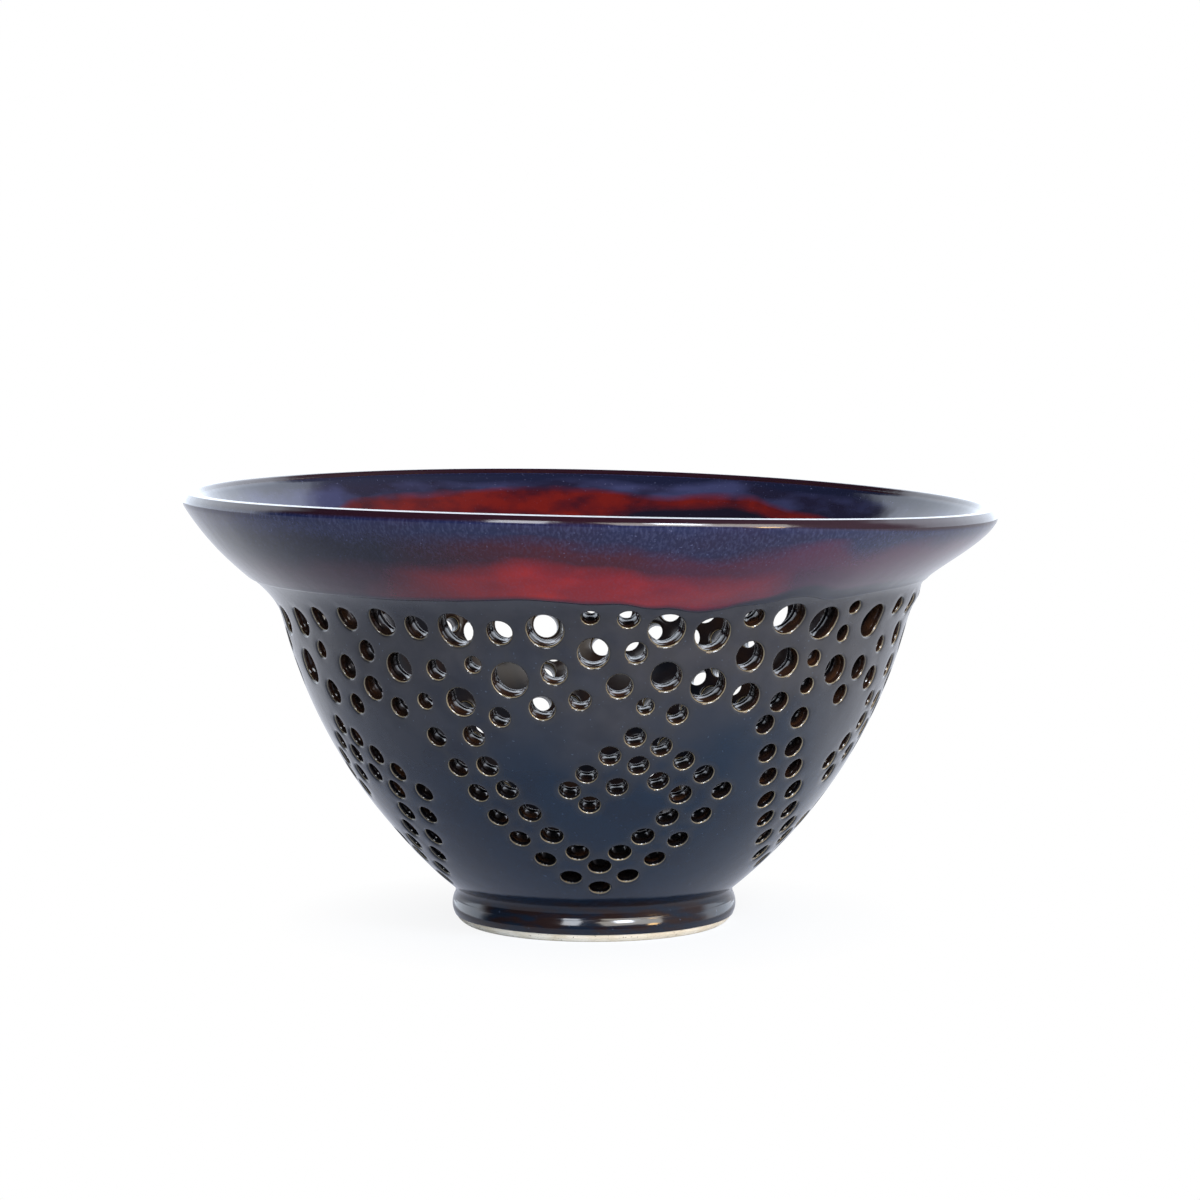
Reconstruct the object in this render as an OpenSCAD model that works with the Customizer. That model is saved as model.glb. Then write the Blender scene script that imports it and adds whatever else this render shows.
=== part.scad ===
// Berry bowl: a thrown stoneware bowl with a pierced wall, a flared collar and a foot ring.
// Origin at the centre of the foot's tread, +Z up, the front of the bowl towards -Y.

/* [Overall] */
// Outer diameter of the lip
rim_d = 200; // [190:1:210]
// Height from the table to the top of the lip
bowl_h = 104.5; // [100:0.5:110]

/* [Wall] */
// Thickness of the wall with its glaze
wall_t = 4.6; // [3.8:0.1:5.4]
// Radius of the pierced wall's curve, from the foot to the shoulder
wall_curve_r = 125; // [115:1:150]
// Diameter at the foot of the wall
neck_d = 66.2; // [62:0.2:70]
// Diameter at the shoulder, where the wall turns out into the collar
shoulder_d = 157.4; // [152:0.2:162]
// Radius of the hollow bend at the shoulder
shoulder_bend_r = 18; // [12:1:20]
// Radius of the dished floor inside
floor_curve_r = 90; // [80:1:110]
// Thickness of the floor at the axis
floor_t = 5; // [4:0.1:7]

/* [Collar and lip] */
// Height of the collar, from the shoulder to the top of the lip
collar_h = 22.2; // [20:0.1:24]
// Radius of the collar's curve
collar_curve_r = 50; // [45:1:60]
// Height of the lip's upright face
lip_h = 2.7; // [2.2:0.1:3.4]
// Rounding of the lip's upper edge
lip_round_r = 1.1; // [0.6:0.1:1.4]

/* [Foot ring] */
// Diameter at the bulge of the foot ring
foot_d = 70.4; // [68:0.2:73]
// Height of the foot ring
foot_h = 7.5; // [6.5:0.1:8.5]
// Radius of the foot ring's bulge
foot_bulge_r = 4.4; // [4:0.1:5]
// Height of the middle of the bulge
foot_bulge_h = 3.6; // [3:0.1:4]
// Diameter of the recess inside the foot ring
foot_bore_d = 54; // [50:1:58]
// Bevel on the inner edge of the tread
tread_bevel = 0.8; // [0.4:0.1:1.2]

/* [Piercing] */
// Bore of the smallest holes
pin_hole_d = 3.8; // [3.4:0.1:4.2]
// Bore of the holes in the garlands and hooks
garland_hole_d = 4.8; // [4.4:0.1:5.2]
// Bore of the holes in the garlands' inner row
garland_inner_hole_d = 5.2; // [4.8:0.1:5.6]
// Bore of the middle holes
middle_hole_d = 5.8; // [5.4:0.1:6.2]
// Bore of the wide holes
wide_hole_d = 7; // [6.4:0.1:7.4]
// Bore of the largest holes
large_hole_d = 8.4; // [7.8:0.1:8.8]
// Bore of the drain holes in the floor
drain_hole_d = 5.6; // [4:0.1:7]
// Diameter of the ring of drain holes
drain_ring_d = 30; // [24:1:36]
// Number of drain holes in that ring
drain_count = 6; // [4:1:8]

/* [Glaze] */
// Thickness of the glaze
glaze_t = 0.4; // [0.3:0.05:0.45]
// Height of the bare strip at the bottom of the foot ring
bare_h = 2; // [1.4:0.1:2.6]
// Height above the bend at which the collar's glaze starts outside
glaze_line_up = 0.35; // [0:0.05:2]
// Height above the bend at which the collar's glaze starts inside
inner_line_up = 1.5; // [0.5:0.1:4.5]

/* [Hidden] */
arc_fn = 180;
hole_fn = 24;
drain_fn = 32;
// Overrun of every cut
over = 1;
// How far the bend's circle bites into its neighbours, so that the curves cross cleanly
bend_bite = 0.02;
// Segments in the rounding of the lip
lip_steps = 5;

rim_r = rim_d / 2;
top_h = bowl_h + over;
shoulder_h = bowl_h - collar_h;
floor_h = foot_h + floor_t;
foot_mid_r = foot_d / 2 - foot_bulge_r;
// Length of a hole's cutter, long enough for the thick clay at the edge of the floor
cutter_l = 5 * wall_t;
// Top of the block of clay that the dished floor is cut from, well above where floor and wall meet
floor_block_share = 0.8;
floor_block_h = floor_block_share * shoulder_h;

// Centre of the arc of radius r from a up to b, on the side of the axis
function arc_centre(a, b, r) =
    let (v = b - a, h = sqrt(r * r - v * v / 4))
    (a + b) / 2 + h * [-v[1], v[0]] / norm(v);

// Lower right crossing of two circles about c1 and c2
function crossing(c1, r1, c2, r2) =
    let (v = c2 - c1, d = norm(v), along = (r1 * r1 - r2 * r2 + d * d) / (2 * d))
    c1 + along * v / d + sqrt(r1 * r1 - along * along) * [v[1], -v[0]] / d;

function unit(v) = v / norm(v);

// The outer profile is three arcs: the wall, the hollow bend at the shoulder, and the collar
shoulder = [shoulder_d / 2, shoulder_h];
wall_c = arc_centre([neck_d / 2, foot_h], shoulder, wall_curve_r);
collar_c = arc_centre(shoulder, [rim_r, bowl_h - lip_h], collar_curve_r);
bend_c = crossing(wall_c, wall_curve_r + shoulder_bend_r, collar_c, collar_curve_r + shoulder_bend_r);
to_bend = unit(bend_c - wall_c);
collar_to_bend = unit(bend_c - collar_c);
bend_low_h = (wall_c + wall_curve_r * to_bend)[1];

// The coats of glaze meet above the bend, so that every hole lies in the lower ones
glaze_line_h = (collar_c + collar_curve_r * collar_to_bend)[1] + glaze_line_up;
inner_line_h = (collar_c + (collar_curve_r - wall_t) * collar_to_bend)[1] + inner_line_up;

// The motifs stand round the wall: bearing of the garland's lowest hole, in degrees from the
// front, and how far the motif sits above the others, as a share of the shoulder's height
motif_shares = [[2, 0], [68.5, 0.035], [144, 0.01], [217, -0.01], [291.5, -0.02]];

// One motif: bearing in degrees from its lowest hole, and height as a share of the shoulder's
garland_outer_shares = [
    [-34, 0.64], [-31, 0.55], [-28, 0.475], [-25, 0.4], [-21, 0.335], [-15.5, 0.27], [-9, 0.21],
    [0, 0.175], [8.5, 0.215], [15.2, 0.27], [20, 0.33], [24, 0.405], [27, 0.48]];
garland_inner_shares = [
    [-25.5, 0.65], [-24, 0.56], [-20.8, 0.49], [-16.7, 0.42], [-12.4, 0.35], [-6.3, 0.295],
    [-0.3, 0.25], [5, 0.295], [10.4, 0.345], [15.4, 0.405], [17.2, 0.475]];
hook_shares = [
    [21.4, 0.535], [16.3, 0.58], [11.2, 0.625], [5.9, 0.655], [1.2, 0.6], [-3.4, 0.545],
    [-7.1, 0.495], [-2.9, 0.45], [11.6, 0.52], [7, 0.57], [3, 0.505]];

// The band under the collar. Each row is a bearing in degrees, a height as a share of the shoulder's,
// and a bore. The bearings of the front half count from the front, those of the back half from the back.
front_band_shares = [
    [-74.5, 0.93, wide_hole_d], [-64, 0.94, wide_hole_d], [-55.5, 0.96, middle_hole_d],
    [-46.7, 0.97, middle_hole_d], [-38.2, 0.97, wide_hole_d], [-31.2, 0.96, middle_hole_d],
    [-23.6, 0.96, large_hole_d], [-15.8, 0.955, middle_hole_d], [-8, 0.965, large_hole_d],
    [-0.5, 1, pin_hole_d], [5.7, 0.995, garland_hole_d], [12.2, 0.965, large_hole_d],
    [20.3, 0.95, large_hole_d], [27.3, 0.99, garland_hole_d], [34.4, 0.985, large_hole_d],
    [42.7, 0.965, large_hole_d], [49.3, 1, pin_hole_d], [48.8, 0.925, pin_hole_d],
    [56.9, 0.955, large_hole_d], [65.5, 0.985, garland_hole_d], [73.9, 0.98, middle_hole_d],
    [-67, 0.805, large_hole_d], [-58.5, 0.865, pin_hole_d], [-50.8, 0.825, middle_hole_d],
    [-44, 0.88, garland_hole_d], [-36.8, 0.84, wide_hole_d], [-28.7, 0.84, garland_hole_d],
    [-21.3, 0.86, pin_hole_d], [-14.8, 0.82, large_hole_d], [-6.8, 0.845, middle_hole_d],
    [0, 0.9, wide_hole_d], [4.6, 0.805, middle_hole_d], [7.3, 0.9, garland_hole_d],
    [12.8, 0.83, wide_hole_d], [20.7, 0.8, large_hole_d], [28.1, 0.88, wide_hole_d],
    [35.9, 0.855, wide_hole_d], [42.5, 0.86, pin_hole_d], [49.1, 0.82, wide_hole_d],
    [57.1, 0.815, middle_hole_d], [63.5, 0.875, pin_hole_d], [71.8, 0.895, middle_hole_d],
    [74, 0.795, middle_hole_d], [-59.1, 0.74, middle_hole_d], [-51.4, 0.715, garland_hole_d],
    [-44.8, 0.77, middle_hole_d], [-39.1, 0.72, garland_hole_d], [-32.5, 0.745, pin_hole_d],
    [-24.8, 0.75, wide_hole_d], [-17.5, 0.71, garland_hole_d], [-9.3, 0.74, middle_hole_d],
    [-2.4, 0.765, garland_hole_d], [9.4, 0.745, pin_hole_d], [15.5, 0.72, garland_hole_d],
    [28.7, 0.76, wide_hole_d], [36.4, 0.74, garland_hole_d], [42.4, 0.78, pin_hole_d],
    [53.3, 0.74, garland_hole_d], [63.5, 0.775, middle_hole_d], [68.2, 0.705, pin_hole_d],
    [82.2, 0.97, wide_hole_d], [90, 0.98, garland_hole_d], [97.6, 0.965, large_hole_d],
    [81.5, 0.865, wide_hole_d], [88.6, 0.895, pin_hole_d], [91.5, 0.82, wide_hole_d],
    [100.4, 0.865, middle_hole_d], [79.5, 0.745, garland_hole_d], [86, 0.77, middle_hole_d],
    [91.8, 0.725, garland_hole_d], [98.8, 0.77, wide_hole_d]];
back_band_shares = [
    [-74.5, 0.93, wide_hole_d], [-64, 0.94, wide_hole_d], [-55.5, 0.96, middle_hole_d],
    [-46.7, 0.97, middle_hole_d], [-38.2, 0.97, wide_hole_d], [-31.2, 0.96, middle_hole_d],
    [-23.6, 0.965, large_hole_d], [-15.8, 0.955, middle_hole_d], [-8, 0.965, large_hole_d],
    [-0.5, 1, pin_hole_d], [5.7, 0.995, garland_hole_d], [12.2, 0.965, large_hole_d],
    [20.3, 0.95, large_hole_d], [27.3, 0.99, garland_hole_d], [34.4, 0.985, large_hole_d],
    [42.7, 0.965, large_hole_d], [49.3, 1, pin_hole_d], [48.8, 0.925, pin_hole_d],
    [56.9, 0.955, large_hole_d], [65.5, 0.985, garland_hole_d], [73.9, 0.98, middle_hole_d],
    [-67, 0.805, large_hole_d], [-58.5, 0.865, pin_hole_d], [-50.2, 0.857, middle_hole_d],
    [-41.5, 0.859, large_hole_d], [-33, 0.86, garland_hole_d], [-24.2, 0.85, wide_hole_d],
    [-16.5, 0.844, middle_hole_d], [-13.1, 0.775, garland_hole_d], [-6.2, 0.838, garland_hole_d],
    [0.3, 0.868, middle_hole_d], [6.2, 0.88, garland_hole_d], [10.6, 0.797, wide_hole_d],
    [15.8, 0.88, garland_hole_d], [19.3, 0.8, wide_hole_d], [26.9, 0.78, wide_hole_d],
    [29.5, 0.88, middle_hole_d], [32.3, 0.809, pin_hole_d], [37.4, 0.86, wide_hole_d],
    [43.3, 0.865, pin_hole_d], [49.1, 0.82, wide_hole_d], [57.1, 0.815, middle_hole_d],
    [63.5, 0.875, pin_hole_d], [71.8, 0.895, middle_hole_d], [74, 0.795, middle_hole_d],
    [-59.1, 0.74, middle_hole_d], [-53.5, 0.72, garland_hole_d], [-48.6, 0.775, garland_hole_d],
    [-42, 0.72, middle_hole_d], [-36, 0.765, garland_hole_d], [-28.5, 0.76, garland_hole_d],
    [-21, 0.755, wide_hole_d], [-16, 0.705, garland_hole_d], [-7.6, 0.745, middle_hole_d],
    [-1.8, 0.729, middle_hole_d], [4.2, 0.79, middle_hole_d], [9.4, 0.705, garland_hole_d],
    [15.5, 0.72, garland_hole_d], [22.6, 0.715, garland_hole_d], [32, 0.733, garland_hole_d],
    [38, 0.755, garland_hole_d], [42.4, 0.78, pin_hole_d], [53.3, 0.74, garland_hole_d],
    [63.5, 0.775, middle_hole_d], [68.2, 0.705, pin_hole_d], [82.2, 0.97, wide_hole_d],
    [90, 0.98, garland_hole_d], [97.6, 0.965, large_hole_d], [81.5, 0.865, wide_hole_d],
    [88.6, 0.895, pin_hole_d], [91.5, 0.82, wide_hole_d], [100.4, 0.865, middle_hole_d],
    [79.5, 0.745, garland_hole_d], [86, 0.77, middle_hole_d], [91.8, 0.725, garland_hole_d],
    [98.8, 0.77, wide_hole_d]];

// Point of the outside of the wall, or of its bend, at height h
function skin_point(h) = h < bend_low_h
    ? [wall_c[0] + sqrt(pow(wall_curve_r, 2) - pow(wall_c[1] - h, 2)), h]
    : [bend_c[0] - sqrt(pow(shoulder_bend_r, 2) - pow(h - bend_c[1], 2)), h];

// Outward direction there
function outward(p) = p[1] < bend_low_h ? unit(p - wall_c) : unit(bend_c - p);

// Everything inside the outer profile drawn in by inset, from a height up to above the lip
module outline(inset, from_h = foot_h) {
    low = wall_c + (wall_curve_r - inset) * to_bend;
    high = collar_c + (collar_curve_r - inset) * collar_to_bend;
    intersection() {
        translate(wall_c) circle(wall_curve_r - inset, $fn = arc_fn);
        translate([0, from_h]) square([rim_r, shoulder_h - from_h]);
    }
    intersection() {
        translate(collar_c) circle(collar_curve_r - inset, $fn = arc_fn);
        translate([0, shoulder_h]) square([rim_r + over, top_h - shoulder_h]);
    }
    translate([0, high[1] - over]) square([collar_c[0], top_h - high[1] + over]);
    difference() {
        polygon([[0, low[1]], low + over * to_bend, high + over * collar_to_bend, [0, high[1]]]);
        translate(bend_c) circle(shoulder_bend_r + inset + bend_bite, $fn = arc_fn);
    }
}

// The lip's upright face, its rounded edge and its flat top, drawn in by inset
module lip_limit(inset) {
    corner = [rim_r - inset - lip_round_r, bowl_h - inset - lip_round_r];
    polygon([
        [0, 0], [rim_r - inset, 0],
        for (i = [0:lip_steps]) corner + lip_round_r * [cos(90 * i / lip_steps), sin(90 * i / lip_steps)],
        [0, bowl_h - inset]]);
}

// The hollow inside: inset from the outer profile, with a dished floor raised or lowered by drop
module hollow(inset, drop) {
    difference() {
        outline(inset);
        difference() {
            translate([0, foot_h - over]) square([shoulder_d / 2, floor_block_h - foot_h + over]);
            translate([0, floor_h + floor_curve_r]) circle(floor_curve_r + drop, $fn = arc_fn);
        }
    }
}

// The bowl's wall, floor, collar and lip, with skin taken off every glazed side
module pot_section(skin) {
    difference() {
        intersection() {
            outline(skin);
            lip_limit(skin);
        }
        hollow(wall_t - skin, skin);
    }
}

module foot_section(skin) {
    difference() {
        union() {
            translate([foot_bore_d / 2, 0]) square([foot_mid_r - foot_bore_d / 2, foot_h]);
            intersection() {
                translate([foot_mid_r, foot_bulge_h]) circle(foot_bulge_r - skin, $fn = arc_fn);
                translate([foot_mid_r - over, 0]) square([foot_bulge_r + over, foot_h]);
            }
        }
        translate([foot_bore_d / 2, 0])
            polygon([[0, tread_bevel], [tread_bevel, 0], [0, -over], [-over, 0]]);
    }
}

// One hole, square to the wall at a bearing and height
module wall_hole(bearing, h, d) {
    p = skin_point(h);
    n = outward(p);
    rotate([0, 0, bearing - 90])
        translate([p[0], 0, p[1]])
            rotate([0, 90 - atan2(n[1], n[0]), 0])
                translate([0, 0, -cutter_l / 2]) cylinder(h = cutter_l, d = d, $fn = hole_fn);
}

// A run of holes of one bore, turned to a bearing and lifted by a share of the shoulder's height
module hole_run(places, bearing, lift, d) {
    for (p = places) wall_hole(bearing + p[0], (p[1] + lift) * shoulder_h, d);
}

module motif(bearing, lift) {
    hole_run(garland_outer_shares, bearing, lift, garland_hole_d);
    hole_run(garland_inner_shares, bearing, lift, garland_inner_hole_d);
    hole_run(hook_shares, bearing, lift, garland_hole_d);
}

module band(places, bearing) {
    for (p = places) wall_hole(bearing + p[0], p[1] * shoulder_h, p[2]);
}

module wall_holes() {
    for (m = motif_shares) motif(m[0], m[1]);
    band(front_band_shares, 0);
    band(back_band_shares, 180);
}

module drain_holes() {
    translate([0, 0, foot_h - over]) {
        cylinder(h = floor_t + 2 * over, d = drain_hole_d, $fn = drain_fn);
        for (i = [0:drain_count - 1])
            rotate([0, 0, 360 * i / drain_count])
                translate([drain_ring_d / 2, 0, 0])
                    cylinder(h = floor_t + 3 * over, d = drain_hole_d, $fn = drain_fn);
    }
}

module turned() {
    rotate_extrude($fn = arc_fn) children();
}

// The thrown clay: floor, pierced wall, collar and lip in one
module clay_bowl() {
    color("#cbb9a0")
        difference() {
            turned() pot_section(glaze_t);
            wall_holes();
            drain_holes();
        }
}

// The ring of clay joined on below the floor
module foot_ring() {
    color("#c2ae94") turned() foot_section(glaze_t);
}

// The dark glaze outside, from the collar's glaze down over the foot ring to the bare strip
module outer_glaze() {
    color("#2f3844")
        difference() {
            turned()
                difference() {
                    union() {
                        intersection() {
                            outline(0, foot_h - glaze_t);
                            square([rim_r, glaze_line_h]);
                        }
                        foot_section(0);
                    }
                    outline(glaze_t);
                    foot_section(glaze_t);
                    square([rim_r, bare_h]);
                    square([foot_mid_r, foot_h]);
                }
            wall_holes();
        }
}

// The same glaze over the floor and the inside of the wall
module inner_glaze() {
    color("#343b48")
        difference() {
            turned()
                intersection() {
                    difference() {
                        hollow(wall_t - glaze_t, glaze_t);
                        hollow(wall_t, 0);
                    }
                    square([rim_r, inner_line_h]);
                }
            wall_holes();
            drain_holes();
        }
}

// The red and blue glaze over both sides of the collar and round the lip
module rim_glaze() {
    color("#8c2f34")
        turned()
            difference() {
                pot_section(0);
                pot_section(glaze_t);
                square([rim_r, glaze_line_h]);
                intersection() {
                    outline(wall_t / 2);
                    square([rim_r, inner_line_h]);
                }
            }
}

clay_bowl();
foot_ring();
outer_glaze();
inner_glaze();
rim_glaze();
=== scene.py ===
"""A berry bowl: thrown and pierced stoneware, glazed slate blue, with an oxblood collar.

The wall is laid out flat as a round blank with its holes cut as circles. A Geometry Nodes tree works every
hole's edge and closes the sheet. The blank is then raised to the bowl.
Lengths are in millimetres, or in metres where said. Heights are over the table.
"""
import math

import bpy
import numpy as np
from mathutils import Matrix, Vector
from mathutils.geometry import delaunay_2d_cdt

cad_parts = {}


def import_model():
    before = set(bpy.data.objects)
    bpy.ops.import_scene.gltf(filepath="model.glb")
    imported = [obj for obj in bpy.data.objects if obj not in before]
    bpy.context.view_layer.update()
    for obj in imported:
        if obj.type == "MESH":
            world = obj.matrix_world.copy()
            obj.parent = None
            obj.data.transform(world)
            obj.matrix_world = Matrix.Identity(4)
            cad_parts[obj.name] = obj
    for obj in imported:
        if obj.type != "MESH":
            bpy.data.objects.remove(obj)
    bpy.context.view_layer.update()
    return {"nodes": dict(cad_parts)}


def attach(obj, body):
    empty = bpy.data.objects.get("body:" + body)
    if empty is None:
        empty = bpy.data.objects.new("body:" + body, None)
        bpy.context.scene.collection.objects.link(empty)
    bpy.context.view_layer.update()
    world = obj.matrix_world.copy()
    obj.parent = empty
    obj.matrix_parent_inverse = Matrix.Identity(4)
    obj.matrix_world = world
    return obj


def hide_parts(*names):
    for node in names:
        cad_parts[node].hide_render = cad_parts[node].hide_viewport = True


MM = 0.001

# Driving sizes of the pot
RIM_D, BOWL_H = 200, 104.5
WALL_T, WALL_CURVE_R = 4.6, 125
NECK_D, SHOULDER_D, SHOULDER_H, SHOULDER_BEND_R = 66.2, 157.4, 82.3, 18
FLOOR_CURVE_R, FLOOR_T, FLOOR_BLEND = 90, 5, 1.5
COLLAR_CURVE_R, LIP_H = 50, 2.7
FOOT_D, FOOT_H, FOOT_BULGE_R, FOOT_BULGE_H, FOOT_FILLET_R = 70.4, 7.5, 5.3, 4.4, 1.6
BARE_H, GLAZE_T, GLAZE_LINE_H, INNER_LINE_H = 2, 0.4, 88, 91
DRAIN_D, DRAIN_RING_D, DRAIN_COUNT = 5.6, 30, 6

# The floor's plain middle, and its share of the floor's radius in the blank
PLAIN_FLOOR_R, PLAIN_FLOOR_SHARE = 22, 0.75

# Bores of the hole cutters, after firing
PIN, GARLAND, GARLAND_INNER, MIDDLE, WIDE, LARGE = 3.8, 4.8, 5.2, 5.8, 7, 8.4

# How the edge of a hole is worked: its rounding, and how far the coat of glaze runs into it
EDGE_ROUND, EDGE_DEPTH, EDGE_STEPS, SLEEVE = 0.45, 0.9, 5, 1.4
WIDE_ROUND, LEAST_WEB = 0.85, 0.2
HOLE_SIDES, WELD, SHARP_ANGLE = 24, 0.001, 50

# The rolled lower edge of the collar's glaze: distance from the edge, and how proud the glaze stands
EDGE_ROLL = [
    (0, -0.35), (0.12, -0.05), (0.3, 0.1), (0.55, 0.17), (0.85, 0.18), (1.25, 0.16), (1.8, 0.12),
    (2.5, 0.09), (3.4, 0.06), (4.5, 0.04)]

# The collar's coat: its sides and rows, how proud it stands, how far from the rim the lip and the lining
# take over, how its end inside is tucked in, and how far from its lower line the lip counts
COLLAR_SIDES, COLLAR_ROWS, LINING_ROWS, COAT_STAND = 600, 21, 24, 0.02
LIP_STARTS_IN, LINING_STARTS_IN, TUCK, TUCK_DEPTH, LIP_FROM_LINE = 1.1, 1.4, 0.2, 0.3, 24
# The third value is how far the lip turns up: there the lip's maroon is darkened as painted shade
COLLAR_VALUES = ("from_line", "from_lip", "lip_maroon_and_shade", "inside")

# The lip: a roll over its lower corner, a face that leans back above it, and a nearly flat top
LIP_ROLL_R, LIP_SET_BACK, LIP_LEAN, LIP_EDGE_R, LIP_FALL = 2.4, 0.15, 32, 0.25, 0.2
LIP_ROLL_STEPS, LIP_EDGE_STEPS, LIP_FACE_SHARES, LIP_TOP = 8, 4, (0.15, 0.55, 0.9, 1), (-0.15, 0.005)
LIP_INNER_EDGE = [(1.1, 0), (0.7, -0.05), (0.35, -0.25), (0, -0.6), (-0.35, -1.1)]

# How the hand left the rim: over which heights that grows, its rise, its lean to the right, its dip at both
# sides, its lean to the front and its shift to the left
RIM_MOVES_H = (81, 102)
RIM_RISE, RIM_LEAN, RIM_DIP, RIM_NOD, RIM_SHIFT = 1.375, 2.1, 0.875, 0.25, 0.9

# How far out the wall stands at its right and left side, and the heights where that starts, is full, is full
# still and ends
RIGHT_STAND, RIGHT_STAND_H = -4, (80.5, 87.5, 87.5, 101)
LEFT_STAND, LEFT_STAND_H = -0.6, (12, 25, 80, 101)

# The motifs: bearing of the garland's lowest hole from the front, and lift. Then their holes: bearing from
# there, and height. Lifts and heights, here and below, are shares of the shoulder's height
MOTIF_SHARES = {2: 0, 68.5: 0.035, 144: 0.01, 217: -0.01, 291.5: -0.02}
GARLAND_OUTER_SHARES = {
    -34: 0.64, -31: 0.55, -28: 0.475, -25: 0.4, -21: 0.335, -15.5: 0.27, -9: 0.21, 0: 0.175, 8.5: 0.215,
    15.2: 0.27, 20: 0.33, 24: 0.405, 27: 0.48}
GARLAND_INNER_SHARES = {
    -25.5: 0.65, -24: 0.56, -20.8: 0.49, -16.7: 0.42, -12.4: 0.35, -6.3: 0.295, -0.3: 0.25, 5: 0.295,
    10.4: 0.345, 15.4: 0.405, 17.2: 0.475}
HOOK_SHARES = {
    21.4: 0.535, 16.3: 0.58, 11.2: 0.625, 5.9: 0.655, 1.2: 0.6, -3.4: 0.545, -7.1: 0.495, -2.9: 0.45,
    11.6: 0.52, 7: 0.57, 3: 0.505}

# The band under the collar, for each bore: bearing from the front or the back, and height. The first table
# is for both halves, the others for one
BAND_SHARES = {
    PIN: {-58.5: 0.865, -0.5: 1, 42.4: 0.78, 48.8: 0.925, 49.3: 1, 63.5: 0.875, 68.2: 0.705, 88.6: 0.895},
    GARLAND: {5.7: 0.995, 15.5: 0.72, 27.3: 0.99, 53.3: 0.74, 65.5: 0.985, 79.5: 0.745, 90: 0.98,
        91.8: 0.725},
    MIDDLE: {-59.1: 0.74, -55.5: 0.96, -46.7: 0.97, -31.2: 0.96, -15.8: 0.955, 57.1: 0.815, 63.5: 0.775,
        71.8: 0.895, 73.9: 0.98, 74: 0.795, 86: 0.77, 100.4: 0.865},
    WIDE: {-74.5: 0.93, -64: 0.94, -38.2: 0.97, 49.1: 0.82, 81.5: 0.865, 82.2: 0.97, 91.5: 0.82, 98.8: 0.77},
    LARGE: {-67: 0.805, -8: 0.965, 12.2: 0.965, 20.3: 0.95, 34.4: 0.985, 42.7: 0.965, 56.9: 0.955,
        97.6: 0.965}}
FRONT_BAND_SHARES = {
    PIN: {-32.5: 0.745, -21.3: 0.86, 9.4: 0.745, 42.5: 0.86},
    GARLAND: {-51.4: 0.715, -44: 0.88, -39.1: 0.72, -28.7: 0.84, -17.5: 0.71, -2.4: 0.765, 7.3: 0.9,
        36.4: 0.74},
    MIDDLE: {-50.8: 0.825, -44.8: 0.77, -9.3: 0.74, -6.8: 0.845, 4.6: 0.805},
    WIDE: {-36.8: 0.84, -24.8: 0.75, 0: 0.9, 12.8: 0.83, 28.1: 0.88, 28.7: 0.76, 35.9: 0.855},
    LARGE: {-23.6: 0.96, -14.8: 0.82, 20.7: 0.8}}
BACK_BAND_SHARES = {
    PIN: {32.3: 0.809, 43.3: 0.865},
    GARLAND: {-53.5: 0.72, -48.6: 0.775, -36: 0.765, -33: 0.86, -28.5: 0.76, -16: 0.705, -13.1: 0.775,
        -6.2: 0.838, 6.2: 0.88, 9.4: 0.705, 15.8: 0.88, 22.6: 0.715, 32: 0.733, 38: 0.755},
    MIDDLE: {-50.2: 0.857, -42: 0.72, -16.5: 0.844, -7.6: 0.745, -1.8: 0.729, 0.3: 0.868, 4.2: 0.79,
        29.5: 0.88},
    WIDE: {-24.2: 0.85, -21: 0.755, 10.6: 0.797, 19.3: 0.8, 26.9: 0.78, 37.4: 0.86},
    LARGE: {-41.5: 0.859, -23.6: 0.965}}

# The run lower edge of the collar's glaze: bearing from the front, and height. Round the back it waves about
# one height: rise of each wave, how many go round, and where they start. Each place is evened with so many
# on either side
EDGE_SHARES = {
    -90: 1.046, -66: 1.038, -52: 1.038, -31.5: 1.036, -20: 1.041, -10.4: 1.05, -4.4: 1.043, -0.5: 1.036,
    3: 1.04, 6.2: 1.036, 8.6: 1.02, 11.5: 1.028, 15.8: 1.011, 19.4: 1.014, 23.8: 1.029, 28: 1.03, 32: 1.047,
    36: 1.047, 41: 1.028, 52: 1.04, 66: 1.046, 90: 1.046}
BACK_EDGE_SHARE, BACK_EDGE_WAVES, EVENED = 1.047, [(0.3, 7, 0), (0.15, 19, 1)], 3

# Inside the collar, from left to right: how far under the lip the red starts, and the dark patch in it
RED_LINING_FROM = [
    (-95, 24), (-72, 16), (-64, 9), (-41, 7), (-25, 6), (0, 6), (12, 8), (28, 7), (44, 7.5), (54, 10.5),
    (64, 13), (80, 18), (95, 26)]
DARK_LINING_FROM = [
    (-95, 28), (-6, 28), (4, 16), (14, 12), (26, 10.5), (36, 10.5), (44, 12), (50, 16), (56, 28), (95, 28)]
LINING_REACH = 30

# How high the throwing rings in the glaze stand at a height, as a share of the highest
THROWING_RING = [(0, 1), (3.4, 1), (5.8, 0), (8.4, 0.65), (110, 0.65)]

# Round a hole, by distance from its bore: from where the glaze greys, breaks pale on the rim and turns brown
# in the bore, and where each is full
GREY_HALO, PALE_RIM, BROWN_SLEEVE = (1.8, 0.3), (0.29, 0.22), (0.15, 0.09)

# On the collar, by place across the bowl: where the red is lost at the left and the right
LOST_LEFT, LOST_RIGHT = (-16, -48), (10, 44)

# How wide the faces of each piece are on the floor or foot and on the wall. They widen between two shares of
# the radius where foot and wall meet
OUTER_GRAIN, INNER_GRAIN, CLAY_GRAIN, GRAIN_WIDENS_SHARES = (0.8, 1.7), (1.8, 1.8), (2.8, 2.8), (0.95, 1.3)

# The sides of their borders, how far up the clay goes in the lip, and how far the inner coats overlap
BARE_LINE_SIDES, LINE_SIDES, CLAY_SIDES = 280, 320, 300
CLAY_TOP_SHARE, COATS_OVERLAP = 0.995, 0.8

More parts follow.
